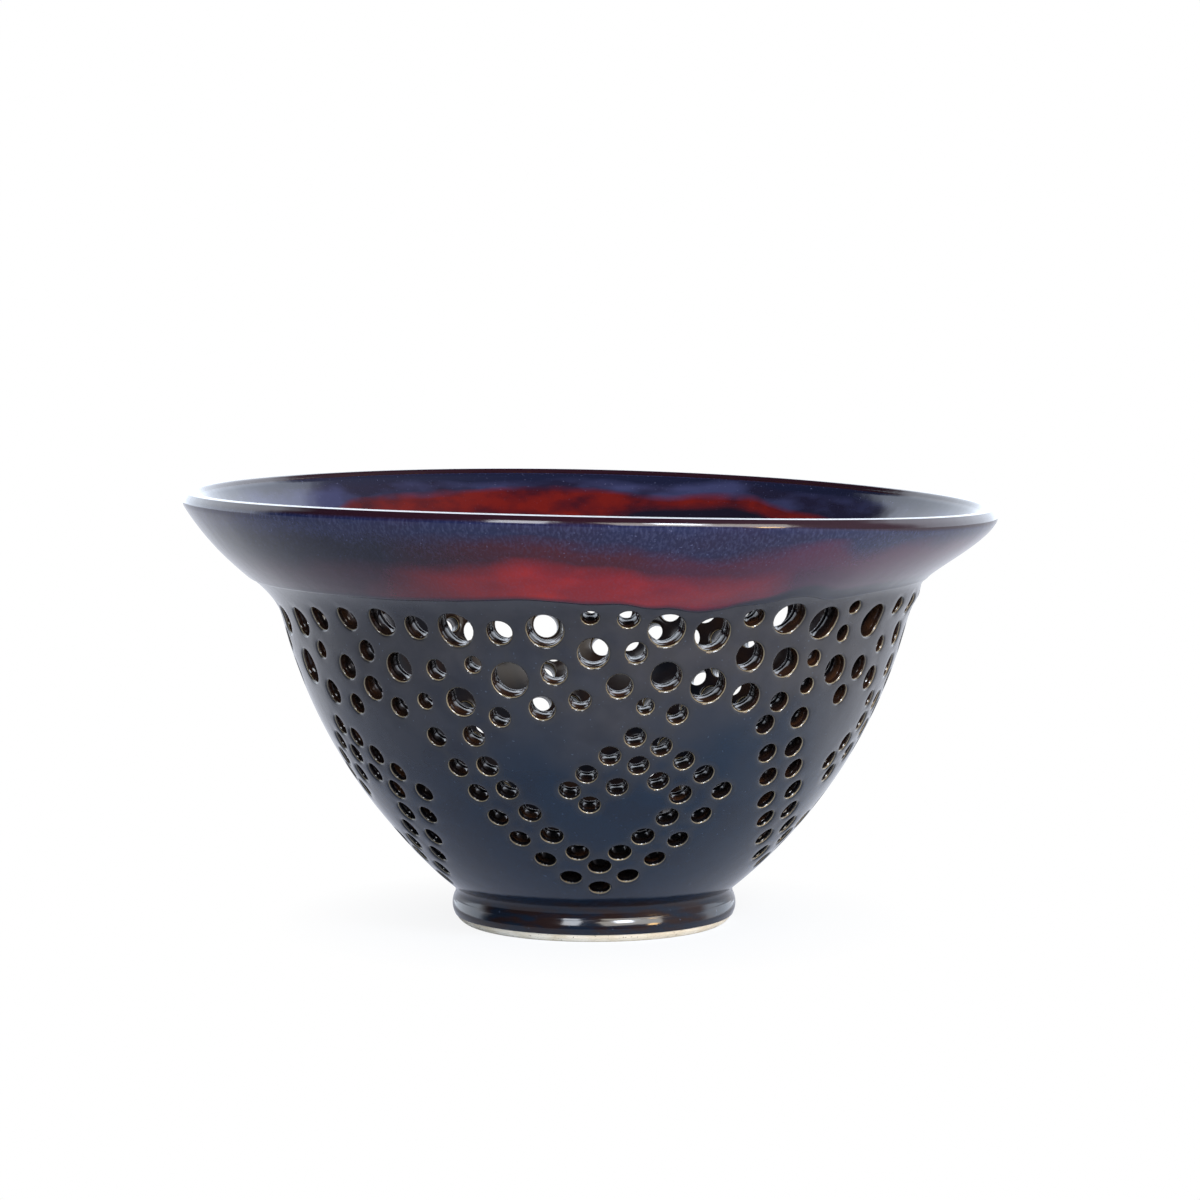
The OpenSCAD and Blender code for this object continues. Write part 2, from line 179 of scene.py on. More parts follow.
# The faces' rows: their height as a share of the faces' width, and how near they come to holes and borders
ROW_SHARE, HOLE_CLEAR_SHARE, BORDER_CLEAR_SHARE, LEAST_IN_ROW = 0.87, 0.62, 0.5, 6
FACE_SLACK, NET_TOLERANCE = 0.999, 1e-7

# The gloss of fused glass, thinner and duller inside, and the relief of the throwing rings under it
GLAZE_IOR, GLAZE_ROUGHNESS, LINING_ROUGHNESS, BORE_ROUGHNESS, BARE_ROUGHNESS = 1.52, 0.12, 0.16, 0.14, 0.8
LINING_SPECULAR, RING_RELIEF = 0.14, 0.7

# The camera: focal length and width of the frame in pixels, its tilt, and its place in metres
FOCAL_PX, FRAME_PX, SENSOR_W, CAMERA_TILT = 3525, 1200, 36, 4.97
CAMERA_PLACE = (0.00148, -0.868, 0.155)

# The lamps: place and size in metres, power in watts and colour. They look at a place in the bowl
LAMPS = [
    ("window_left_pane", (-0.47, -1.35, 0.95), (0.42, 0.75), 11, "#f4f8ff"),
    ("window_right_pane", (0.78, -1.2, 0.95), (1.5, 0.75), 22, "#fffaf0"),
    ("sunlit_sash", (0.62, -1.2, 1.1), (0.36, 0.36), 17, "#e8f1ff"),
    ("reading_lamp", (1.1, -0.95, 0.45), (0.18, 0.18), 3, "#ffd08a")]
LAMPS_AIM = (0, 0, 0.06)

# How much brighter than white the backlit sweep is in the glaze's mirror images
MIRRORED_SWEEP = 2.4

# The table, in metres: half its width, and how far out its shadow fades into white
TABLE_HALF_W, SHADOW_FROM, SHADOW_TO, SHADOW_WHITE = 1.6, 0.035, 0.08, 0.88

# The colour inputs and output of a Mix node, and values for nothing and for far away
MIX_UNDER, MIX_OVER, MIX_COLOUR = 6, 7, 2
TINY, FAR = 1e-9, 1e9


def arc_centre(a, b, r):
    """Centre of the arc of radius r from a up to b, on the side of the axis."""
    a, b = np.array(a, float), np.array(b, float)
    v = b - a
    rise = math.sqrt(r * r - v @ v / 4)
    return (a + b) / 2 + rise * np.array([-v[1], v[0]]) / np.linalg.norm(v)


def crossing(c1, r1, c2, r2, side):
    """One crossing of two circles, on the given side of the line from c1 to c2."""
    v = c2 - c1
    d = np.linalg.norm(v)
    along = (r1 * r1 - r2 * r2 + d * d) / (2 * d)
    across = side * math.sqrt(r1 * r1 - along * along)
    return c1 + along * v / d + across * np.array([v[1], -v[0]]) / d


# The outer profile: foot bulge, groove, wall, bend at the shoulder, and collar
LIP_LOW = np.array([RIM_D / 2, BOWL_H - LIP_H])
SHOULDER = np.array([SHOULDER_D / 2, SHOULDER_H])
BULGE_C = np.array([FOOT_D / 2 - FOOT_BULGE_R, FOOT_BULGE_H])
WALL_C = arc_centre((NECK_D / 2, FOOT_H), SHOULDER, WALL_CURVE_R)
COLLAR_C = arc_centre(SHOULDER, LIP_LOW, COLLAR_CURVE_R)
BEND_C = crossing(WALL_C, WALL_CURVE_R + SHOULDER_BEND_R, COLLAR_C, COLLAR_CURVE_R + SHOULDER_BEND_R, 1)
GROOVE_C = crossing(WALL_C, WALL_CURVE_R + FOOT_FILLET_R, BULGE_C, FOOT_BULGE_R + FOOT_FILLET_R, -1)
PROFILE_STEP = 0.25


def arc(centre, radius, start, end, bulges=1):
    """Points and outward normals along an arc, from one direction to another."""
    a0, a1 = (math.atan2(d[1], d[0]) for d in (start, end))
    a1 += math.tau * round((a0 - a1) / math.tau)
    n = max(2, math.ceil(abs(a1 - a0) * radius / PROFILE_STEP))
    angle = np.linspace(a0, a1, n + 1)
    out = np.stack([np.cos(angle), np.sin(angle)], 1)
    return centre + radius * out, bulges * out


def joined(arcs):
    """The points and the normals of arcs end to end, without the doubled ones."""
    return [np.concatenate([line[min(i, 1):] for i, line in enumerate(lines)]) for lines in zip(*arcs)]


def outer_line():
    """The glazed outer profile, from the bare strip on the foot up to the lip."""
    drop = BARE_H - FOOT_BULGE_H
    bare_start = np.array([math.sqrt(FOOT_BULGE_R ** 2 - drop ** 2), drop])
    return joined([
        arc(BULGE_C, FOOT_BULGE_R, bare_start, GROOVE_C - BULGE_C),
        arc(GROOVE_C, FOOT_FILLET_R, BULGE_C - GROOVE_C, WALL_C - GROOVE_C, -1),
        arc(WALL_C, WALL_CURVE_R, GROOVE_C - WALL_C, BEND_C - WALL_C),
        arc(BEND_C, SHOULDER_BEND_R, WALL_C - BEND_C, COLLAR_C - BEND_C, -1),
        arc(COLLAR_C, COLLAR_CURVE_R, BEND_C - COLLAR_C, LIP_LOW - COLLAR_C)])


def dish_height(r):
    """The height of the floor's dished upper side at a radius."""
    return FOOT_H + FLOOR_T + FLOOR_CURVE_R - np.sqrt(FLOOR_CURVE_R ** 2 - r ** 2)


class Blank:
    """The flat layout: a circle on the pot stays a circle in it, because its scale is the same both ways.

    A radius in the blank is a place along the outer profile.
    """

    def __init__(self):
        points, normals = outer_line()
        steps = np.linalg.norm(np.diff(points, axis=0), axis=1)
        middle_r = (points[1:, 0] + points[:-1, 0]) / 2
        turn = np.concatenate([[0], np.cumsum(steps / middle_r)])
        at_shoulder = np.interp(SHOULDER_H, points[:, 1], turn)
        self.outer, self.normal = points, normals
        self.rho = SHOULDER_D / 2 * np.exp(turn - at_shoulder)
        self.through = self.thickness(points, normals)
        self.inner = points - self.through[:, None] * normals
        self.wall_rho = self.radius_at(GROOVE_C[1])
        self.floor_scale = self.wall_rho * PLAIN_FLOOR_SHARE / PLAIN_FLOOR_R

    @staticmethod
    def thickness(points, normals):
        """Clay to go through from each point: the wall, or down to the dished floor."""
        to_dish = points - np.array([0, FOOT_H + FLOOR_T + FLOOR_CURVE_R])
        along = (to_dish * normals).sum(1)
        reach = along - np.sqrt(np.maximum(along ** 2 - (to_dish ** 2).sum(1) + FLOOR_CURVE_R ** 2, 0))
        reach = np.where(points[:, 1] < SHOULDER_H / 2, reach, 0)
        return (WALL_T + reach + np.sqrt((WALL_T - reach) ** 2 + FLOOR_BLEND ** 2)) / 2

    def radius_at(self, height):
        """The blank's radius for a height on the outer profile."""
        return float(np.interp(height, self.outer[:, 1], self.rho))

    @staticmethod
    def hole(bearing, rho, spread, bore):
        """A hole: its centre in the blank, blank millimetres per real one, and half its bore."""
        angle = math.radians(bearing)
        return (rho * math.sin(angle), -rho * math.cos(angle), spread, bore / 2)

    def wall_hole(self, bearing, height, bore):
        rho = self.radius_at(height)
        return self.hole(bearing, rho, rho / np.interp(height, self.outer[:, 1], self.outer[:, 0]), bore)

    def drain_hole(self, bearing, r):
        return self.hole(bearing, r * self.floor_scale, self.floor_scale, DRAIN_D)

    def read(self, rho, line):
        """Both columns of a line along the profile, at radii in the blank."""
        return np.array([np.interp(rho, self.rho, column) for column in line.T])

    def floor_faces(self, rho):
        """Radius and height of the floor's under and upper side: plain, then drawn on to meet the wall."""
        share = np.clip(rho / self.wall_rho, 0, 1)
        past = np.clip((share - PLAIN_FLOOR_SHARE) / (1 - PLAIN_FLOOR_SHARE), 0, 1)
        plain = np.minimum(share / PLAIN_FLOOR_SHARE * PLAIN_FLOOR_R, PLAIN_FLOOR_R)
        under_end_r, under_end_h = self.read(self.wall_rho, self.outer)
        upper_end_r, upper_end_h = self.read(self.wall_rho, self.inner)
        under_r = plain + past * (under_end_r - PLAIN_FLOOR_R)
        upper_r = plain + past * (upper_end_r - PLAIN_FLOOR_R)
        under_h = FOOT_H + past ** 4 * (under_end_h - FOOT_H)
        upper_h = dish_height(upper_r) + past ** 2 * (upper_end_h - dish_height(upper_end_r))
        return (under_r, under_h), (upper_r, upper_h)

    def raised(self, flat, over_foot):
        """Raises points of the blank, with their depth below the outer face as Z, to the pot's form.

        Inside the groove the blank is the floor or, for a coat that runs over the foot, the foot's bulge.
        """
        rho = np.hypot(flat[:, 0], flat[:, 1])
        outer = self.read(rho, self.outer)
        inner = outer - np.interp(rho, self.rho, self.through) * self.read(rho, self.normal)
        if not over_foot:
            outer, inner = np.where(rho < self.wall_rho, self.floor_faces(rho), (outer, inner))
        full = np.hypot(*(inner - outer))
        depth = np.where(flat[:, 2] <= WALL_T / 2, flat[:, 2], full - (WALL_T - flat[:, 2])) / full
        r, z = outer + depth * (inner - outer)
        across, forward = flat[:, :2].T / np.maximum(rho, TINY)
        return np.stack([r * across, r * forward, z], 1)


BLANK = Blank()


def wall_marks():
    """The holes of the five motifs and of the band."""
    runs = [(GARLAND_OUTER_SHARES, GARLAND), (GARLAND_INNER_SHARES, GARLAND_INNER), (HOOK_SHARES, GARLAND)]
    marks = [
        BLANK.wall_hole(bearing + b, (h + lift) * SHOULDER_H, bore)
        for bearing, lift in MOTIF_SHARES.items() for places, bore in runs for b, h in places.items()]
    for side, own in ((0, FRONT_BAND_SHARES), (180, BACK_BAND_SHARES)):
        marks += [
            BLANK.wall_hole(side + b, h * SHOULDER_H, bore)
            for band in (BAND_SHARES, own) for bore, places in band.items() for b, h in places.items()]
    return with_rounding(np.array(marks))


def drain_marks():
    """The drain holes: one in the middle and a ring round it."""
    ring = [BLANK.drain_hole(360 * i / DRAIN_COUNT, DRAIN_RING_D / 2) for i in range(DRAIN_COUNT)]
    return with_rounding(np.array([BLANK.drain_hole(0, 0)] + ring))


def with_rounding(marks):
    """Adds to each mark how widely its edge is worked: more where its neighbours leave room."""
    x, y, spread, half = marks.T
    gap = np.hypot(x[:, None] - x, y[:, None] - y) / ((spread[:, None] + spread) / 2) - half[:, None] - half
    np.fill_diagonal(gap, FAR)
    return np.column_stack([marks, np.clip((gap.min(1) - LEAST_WEB) / 2, EDGE_ROUND, WIDE_ROUND)])


def smooth(share):
    """A share that starts and ends gently, and stays between 0 and 1."""
    share = np.clip(share, 0, 1)
    return share * share * (3 - 2 * share)


def swell(height, start, full_from, full_to, end):
    """A smooth rise from the start, level between the middle two heights, and a smooth fall to the end."""
    return smooth(np.minimum((height - start) / (full_from - start), (end - height) / (end - full_to)))


def hand_made(co):
    """Gives points of the true round form the unevenness of a thrown and handled bowl."""
    turn = np.arctan2(co[:, 0], -co[:, 1])
    rise = smooth((co[:, 2] - RIM_MOVES_H[0]) / (RIM_MOVES_H[1] - RIM_MOVES_H[0]))
    lift = RIM_RISE - RIM_LEAN * np.sin(turn) + RIM_DIP * np.cos(2 * turn) - RIM_NOD * np.cos(turn)
    right = RIGHT_STAND * swell(co[:, 2], *RIGHT_STAND_H)
    left = LEFT_STAND * swell(co[:, 2], *LEFT_STAND_H)
    stand = np.sin(turn) ** 2 * np.where(turn > 0, right, left)
    grow = 1 + stand / np.maximum(np.hypot(co[:, 0], co[:, 1]), 1)
    return np.stack([co[:, 0] * grow - RIM_SHIFT * rise, co[:, 1] * grow, co[:, 2] + rise * lift], 1)


def linear(hex_colour):
    """An sRGB hex colour as linear red, green, blue and alpha."""
    parts = [int(hex_colour[i:i + 2], 16) / 255 for i in (1, 3, 5)]
    return (*[c / 12.92 if c <= 0.04045 else ((c + 0.055) / 1.055) ** 2.4 for c in parts], 1)


def feed(tree, source, socket):
    """Links an output, or a node's first output, to an input."""
    if isinstance(source, bpy.types.Node):
        source = source.outputs[0]
    tree.links.new(source, socket)


def add(tree, kind, inputs=None, **settings):
    """A node with its settings. Each input is a value, a hex colour, an output, or a node's first output."""
    node = tree.nodes.new(kind)
    for name, value in settings.items():
        setattr(node, name, value)
    for socket, value in (inputs or {}).items():
        if isinstance(value, (bpy.types.Node, bpy.types.NodeSocket)):
            feed(tree, value, node.inputs[socket])
        else:
            is_colour = isinstance(value, str) and value.startswith("#")
            node.inputs[socket].default_value = linear(value) if is_colour else value
    return node


def emptied(owner):
    """The node tree of a material or world, with nothing in it."""
    owner.use_nodes = True
    owner.node_tree.nodes.clear()
    return owner.node_tree


def circle_points(x, y, r, n, turn=0):
    """Points evenly round a circle."""
    angle = turn + np.arange(n) * math.tau / n
    return np.stack([x + r * np.cos(angle), y + r * np.sin(angle)], 1)


def outlines(low, high, marks, rim_sides):
    """The blank's borders and every hole's worked edge: points, their spokes, and loops of their numbers.

    A spoke points away from the bore, and is one long where the edge's rounding is the usual one.
    """
    points, spokes, loops = [], [], []

    def close(ring, spoke):
        loops.append(sum(len(earlier) for earlier in points) + np.arange(len(ring)))
        points.append(ring)
        spokes.append(spoke)

    for r, n in ((high, rim_sides[1]), (low, rim_sides[0])):
        if r > 0:
            close(circle_points(0, 0, r, n), np.zeros((n, 3)))
    for x, y, spread, half, worked in marks:
        out = circle_points(0, 0, spread * worked / EDGE_ROUND, HOLE_SIDES)
        close(circle_points(x, y, (half + worked) * spread, HOLE_SIDES), np.pad(out, ((0, 0), (0, 1))))
    return points, spokes, loops


def filling(low, high, marks, grain):
    """Staggered rings of points between two blank radii, off the holes and a face's width apart."""
    over_foot = 0 < low < BLANK.wall_rho
    widens = [BLANK.wall_rho * share for share in GRAIN_WIDENS_SHARES]
    rows, rho = [], high
    while True:
        on_profile = over_foot or rho > BLANK.wall_rho
        scale = rho / np.interp(rho, BLANK.rho, BLANK.outer[:, 0]) if on_profile else BLANK.floor_scale
        size = np.interp(rho, widens, grain) * scale
        rho -= ROW_SHARE * size
        if rho < low + BORDER_CLEAR_SHARE * size or rho < size:
            break
        n = max(LEAST_IN_ROW, round(math.tau * rho / size))
        ring = circle_points(0, 0, rho, n, len(rows) % 2 * math.pi / n)
        rows.append(np.hstack([ring, np.full((n, 1), size)]))
    inner = np.concatenate(rows)
    clear = np.full(len(inner), FAR)
    for x, y, spread, half, worked in marks:
        clear = np.minimum(clear, np.hypot(inner[:, 0] - x, inner[:, 1] - y) - (half + worked) * spread)
    return inner[clear > HOLE_CLEAR_SHARE * inner[:, 2], :2]


def faces_off_holes(corners, faces, low, high, marks):
    """The faces between the borders and off the holes, all turned the same way."""
    middle = corners[faces].mean(1)
    rho = np.hypot(middle[:, 0], middle[:, 1])
    keep = (rho < high) & (rho > low)
    for x, y, spread, half, worked in marks:
        keep &= np.hypot(middle[:, 0] - x, middle[:, 1] - y) >= (half + worked) * spread * FACE_SLACK
    faces = faces[keep]
    a, b, c = (corners[faces[:, k]] for k in range(3))
    flip = (b - a)[:, 0] * (c - a)[:, 1] - (b - a)[:, 1] * (c - a)[:, 0] > 0
    faces[flip] = faces[flip][:, ::-1]
    return faces


def net(low, high, marks, grain, rim_sides):
    """A flat mesh between two blank radii, with a round gap at every mark, and grain as its faces' width."""
    points, spokes, loops = outlines(low, high, marks, rim_sides)
    inner = filling(low, high, marks, grain)
    points = np.concatenate(points + [inner])
    spokes = np.concatenate(spokes + [np.zeros((len(inner), 3))])
    edges = [(int(a), int(b)) for loop in loops for a, b in zip(loop, np.roll(loop, -1))]
    found = delaunay_2d_cdt([Vector(p) for p in points], edges, [], 0, NET_TOLERANCE, True)
    corners, faces = np.array([v[:] for v in found[0]]), np.array(found[2])
    spokes = spokes[[numbers[0] for numbers in found[3]]]
    faces = faces_off_holes(corners, faces, low, high, marks)
    mesh = bpy.data.meshes.new("blank")
    mesh.from_pydata(np.pad(corners * MM, ((0, 0), (0, 1))).tolist(), [], faces.tolist())
    mesh.attributes.new("spoke", "FLOAT_VECTOR", "POINT").data.foreach_set("vector", spokes.ravel())
    of_faces = np.empty(len(mesh.loops), np.int32)
    mesh.loops.foreach_get("edge_index", of_faces)
    free = np.bincount(of_faces, minlength=len(mesh.edges)) == 1
    ends = np.array([e.vertices[:] for e in mesh.edges])
    at_hole = (np.linalg.norm(spokes, axis=1) > 0)[ends].all(1)
    for name, chosen in (("hole_edge", free & at_hole), ("border", free & ~at_hole)):
        mesh.attributes.new(name, "BOOLEAN", "EDGE").data.foreach_set("value", chosen)
    return mesh


def placed(name, mesh):
    """An object of the scene for a mesh, at the origin."""
    piece = bpy.data.objects.new(name, mesh)
    bpy.context.scene.collection.objects.link(piece)
    return piece


def section_line(name, points):
    """The section of a hole's edge, as a line: how far out from the bore, and how deep in the wall."""
    mesh = bpy.data.meshes.new(name)
    edges = [(i, i + 1) for i in range(len(points) - 1)]
    mesh.from_pydata([(x * MM, 0, z * MM) for x, z in points], edges, [])
    return placed(name, mesh)


def worked_edges(tree, sheet, steps, section_point):
    """Draws every hole's edge down into its bore, one step of the section at a time."""
    hole_edge = add(tree, "GeometryNodeInputNamedAttribute", {"Name": "hole_edge"}, data_type="BOOLEAN")
    spoke = add(tree, "GeometryNodeInputNamedAttribute", {"Name": "spoke"}, data_type="FLOAT_VECTOR")
    begin = add(tree, "GeometryNodeRepeatInput")
    end = add(tree, "GeometryNodeRepeatOutput")
    begin.pair_with_output(end)
    end.repeat_items.clear()
    for kind, name in (("GEOMETRY", "Sheet"), ("BOOLEAN", "Ring"), ("INT", "Step")):
        end.repeat_items.new(kind, name)
    for name, source in (("Iterations", steps), ("Sheet", sheet), ("Ring", hole_edge)):
        feed(tree, source, begin.inputs[name])
    step = begin.outputs["Step"]
    following = add(tree, "FunctionNodeIntegerMath", {0: step, 1: 1}, operation="ADD")
    move = add(tree, "ShaderNodeVectorMath", {
        0: section_point(following), 1: section_point(step)}, operation="SUBTRACT")
    move = add(tree, "ShaderNodeSeparateXYZ", {0: move})
    outwards = add(tree, "ShaderNodeVectorMath", {0: spoke, "Scale": move.outputs["X"]}, operation="SCALE")
    down = add(tree, "ShaderNodeCombineXYZ", {"Z": move.outputs["Z"]})
    offset = add(tree, "ShaderNodeVectorMath", {0: outwards, 1: down}, operation="ADD")
    ring = add(tree, "GeometryNodeExtrudeMesh", {
        "Mesh": begin.outputs["Sheet"], "Selection": begin.outputs["Ring"], "Offset": offset}, mode="EDGES")
    for name, source in (("Sheet", ring), ("Ring", ring.outputs["Top"]), ("Step", following)):
        feed(tree, source, end.inputs[name])
    return end.outputs["Sheet"]


def pierced_sheet_tree():
    """Closes a flat blank with open holes to a sheet: a front face, a back face and worked hole edges."""
    tree = bpy.data.node_groups.new("pierced sheet", "GeometryNodeTree")
    for name, kind in (
            ("Blank", "NodeSocketGeometry"), ("Hole section", "NodeSocketObject"),
            ("Weld distance", "NodeSocketFloat"), ("Glaze or clay", "NodeSocketMaterial")):
        tree.interface.new_socket(name, in_out="INPUT", socket_type=kind)
    tree.interface.new_socket("Sheet", in_out="OUTPUT", socket_type="NodeSocketGeometry")
    given = add(tree, "NodeGroupInput").outputs
    section = add(tree, "GeometryNodeObjectInfo", {"Object": given["Hole section"]}).outputs["Geometry"]
    place = add(tree, "GeometryNodeInputPosition")
    count = add(tree, "GeometryNodeAttributeDomainSize", {"Geometry": section}).outputs["Point Count"]
    last = add(tree, "FunctionNodeIntegerMath", {0: count, 1: 1}, operation="SUBTRACT")

    def section_point(index):
        return add(tree, "GeometryNodeSampleIndex", {
            "Geometry": section, "Index": index, "Value": place}, data_type="FLOAT_VECTOR").outputs["Value"]

    depths = [
        add(tree, "ShaderNodeVectorMath", {0: section_point(index), 1: (0, 0, 1)}, operation="MULTIPLY")
        for index in (0, last)]
    front, back = (
        add(tree, "GeometryNodeSetPosition", {"Geometry": given["Blank"], "Offset": depth})
        for depth in depths)
    flipped = add(tree, "GeometryNodeFlipFaces", {"Mesh": back})
    thickness = add(tree, "ShaderNodeVectorMath", {0: depths[1], 1: depths[0]}, operation="SUBTRACT")
    border = add(tree, "GeometryNodeInputNamedAttribute", {"Name": "border"}, data_type="BOOLEAN")
    walled = add(tree, "GeometryNodeExtrudeMesh", {
        "Mesh": front, "Selection": border, "Offset": thickness}, mode="EDGES")
    pierced = worked_edges(tree, walled.outputs["Mesh"], last, section_point)
    join = add(tree, "GeometryNodeJoinGeometry", {0: pierced})
    feed(tree, flipped, join.inputs[0])
    weld = add(tree, "GeometryNodeMergeByDistance", {"Geometry": join, "Distance": given["Weld distance"]})
    soft = add(tree, "GeometryNodeSetShadeSmooth", {"Geometry": weld})
    real = add(tree, "GeometryNodeRealizeInstances", {"Geometry": soft})
    coated = add(tree, "GeometryNodeSetMaterial", {"Geometry": real, "Material": given["Glaze or clay"]})
    add(tree, "NodeGroupOutput", {"Sheet": coated})
    return tree


def store(mesh, name, values):
    """Keeps a number at every point of a mesh, for its material."""
    mesh.attributes.new(name, "FLOAT", "POINT").data.foreach_set("value", np.asarray(values, np.float32))


def edge_distance(flat, marks):
    """Distance of each point from the nearest bore's edge, in real millimetres: negative over the bore."""
    nearest = np.full(len(flat), FAR)
    for x, y, spread, half, _ in marks:
        nearest = np.minimum(nearest, np.hypot(flat[:, 0] - x, flat[:, 1] - y) / spread - half)
    return nearest


def pierced_piece(name, tree, blank, section, marks, glaze, over_foot=False):
    """A closed sheet made from the blank by the tree, raised to the form of the pot."""
    work = placed(name + "_blank", blank)
    line = section_line(name + "_section", section)
    modifier = work.modifiers.new("pierced sheet", "NODES")
    modifier.node_group = tree
    sockets = {s.name: s.identifier for s in tree.interface.items_tree if s.in_out == "INPUT"}
    modifier[sockets["Hole section"]] = line
    modifier[sockets["Weld distance"]] = WELD * MM
    modifier[sockets["Glaze or clay"]] = glaze
    graph = bpy.context.evaluated_depsgraph_get()
    mesh = bpy.data.meshes.new_from_object(
        work.evaluated_get(graph), preserve_all_data_layers=True, depsgraph=graph)
    work.modifiers.remove(modifier)
    for used in (work, line):
        bpy.data.objects.remove(used)
    flat = np.empty(len(mesh.vertices) * 3, np.float32)
    mesh.vertices.foreach_get("co", flat)
    flat = flat.reshape(-1, 3).astype(float) / MM
    mesh.vertices.foreach_set("co", (hand_made(BLANK.raised(flat, over_foot)) * MM).ravel())
    for spare in ("spoke", "hole_edge", "border"):
        if spare in mesh.attributes:
            mesh.attributes.remove(mesh.attributes[spare])
    store(mesh, "from_edge", edge_distance(flat, marks))
    return finished(name, mesh)


def finished(name, mesh):
    """The piece made from a mesh, smooth but for its sharp edges."""
    mesh.name = name
    mesh.update()
    mesh.shade_smooth()
    mesh.set_sharp_from_angle(angle=math.radians(SHARP_ANGLE))
    return placed(name, mesh)


def rounded_edge(depth, step):
    """The quarter round at the edge of a hole, from the face down into the bore."""
    angles = [math.pi / 2 * i / EDGE_STEPS for i in range(EDGE_STEPS + 1)]
    return [(EDGE_ROUND * (1 - math.sin(a)), depth + step * EDGE_DEPTH * (1 - math.cos(a))) for a in angles]


OUTER_SECTION = rounded_edge(0, 1) + [(0, SLEEVE), (EDGE_ROUND, GLAZE_T)]
CLAY_SECTION = [(EDGE_ROUND, GLAZE_T), (0, SLEEVE), (0, WALL_T - SLEEVE), (EDGE_ROUND, WALL_T - GLAZE_T)]
INNER_SECTION = [(EDGE_ROUND, WALL_T - GLAZE_T), (0, WALL_T - SLEEVE)] + rounded_edge(WALL_T, -1)[::-1]


def edge_heights(turn):
    """The height of the collar glaze's lower edge: as it ran on the front, and evenly round the back."""
    bearing = np.degrees((turn + math.pi) % math.tau - math.pi)
    front = np.interp(bearing, list(EDGE_SHARES), list(EDGE_SHARES.values())) * SHOULDER_H
    back = BACK_EDGE_SHARE * SHOULDER_H
    for rise, waves, start in BACK_EDGE_WAVES:
        back = back + rise * np.sin(turn * waves + start)
    heights = np.where(np.abs(bearing) < 90, front, back)
    near = range(-EVENED, EVENED + 1)
    return sum(np.roll(heights, k) for k in near) / len(near)


def collar_rows(turn):
    """The rows of the collar's coat, from its rolled edge up, over the lip and down inside.

    A row is its profile points, their outward normals and, for its glaze, what COLLAR_VALUES names.
    """
    run = np.concatenate([[0], np.cumsum(np.linalg.norm(np.diff(BLANK.outer, axis=0), axis=1))])
    rows = []

    def marked(*values):
        return np.stack([value * np.ones(COLLAR_SIDES) for value in values], 1)

    def row(place, side, lift, from_line, from_lip):
        p, n = (
            np.stack([np.interp(place, run, column) for column in line.T], 1)
            for line in (BLANK.outer, BLANK.normal))
        if side < 0:
            p, n = p - WALL_T * n, -n
        rows.append((p + lift * n, n, marked(from_line, from_lip, 0, side < 0)))

    start = np.interp(edge_heights(turn), BLANK.outer[:, 1], run)
    end = np.interp(RIM_D / 2 - LIP_STARTS_IN, BLANK.outer[:, 0], run)
    for near, lift in EDGE_ROLL:
        row(start + near, 1, lift, near, run[-1] - start - near)
    rolled = EDGE_ROLL[-1][0]
    for share in np.linspace(0, 1, COLLAR_ROWS + 1)[1:]:
        place = start + rolled + share * (end - start - rolled)
        row(place, 1, COAT_STAND, place - start, run[-1] - place)
    for p, n, lip_maroon_and_shade in lip_line():
        p, n = (np.tile(v, (COLLAR_SIDES, 1)) for v in (p, n))
        rows.append((p, n, marked(LIP_FROM_LINE, 0, lip_maroon_and_shade, 0)))
    inside_end = np.interp(INNER_LINE_H, BLANK.outer[:, 1] - WALL_T * BLANK.normal[:, 1], run)
    for place in np.linspace(run[-1] - LINING_STARTS_IN, inside_end, LINING_ROWS):
        row(np.full(COLLAR_SIDES, place), -1, 0, place - inside_end, run[-1] - place)
    row(np.full(COLLAR_SIDES, inside_end - TUCK), -1, -TUCK_DEPTH, 0, run[-1] - inside_end)
    return rows


def collar_piece(glaze):
    """The coat on the collar and the lip, closed by a back one glaze thickness behind its face."""
    turn = np.arange(COLLAR_SIDES) * math.tau / COLLAR_SIDES
    points, normals, places = (np.array(x) for x in zip(*collar_rows(turn)))
    loop = np.concatenate([points, (points - GLAZE_T * normals)[::-1]])
    places = np.concatenate([places, places[::-1]]).reshape(-1, 4)
    r, z = loop[..., 0], loop[..., 1]
    co = np.stack([r * np.sin(turn), -r * np.cos(turn), z], -1).reshape(-1, 3)
    i, j = np.meshgrid(np.arange(len(loop)), np.arange(COLLAR_SIDES), indexing="ij")
    a, b = i * COLLAR_SIDES + j, i * COLLAR_SIDES + (j + 1) % COLLAR_SIDES
    c, d = (b + COLLAR_SIDES) % len(co), (a + COLLAR_SIDES) % len(co)
    mesh = bpy.data.meshes.new("collar_glaze")
    mesh.from_pydata((hand_made(co) * MM).tolist(), [], np.stack([a, b, c, d], -1).reshape(-1, 4).tolist())
    mesh.materials.append(glaze)
    for k, name in enumerate(COLLAR_VALUES):
        store(mesh, name, places[:, k])
    return finished("collar_glaze", mesh)


def circle_way(angle):
    """The direction at an angle over the horizontal, in degrees, in the plane of the profile."""
    angle = math.radians(angle)
    return np.array([math.cos(angle), math.sin(angle)])


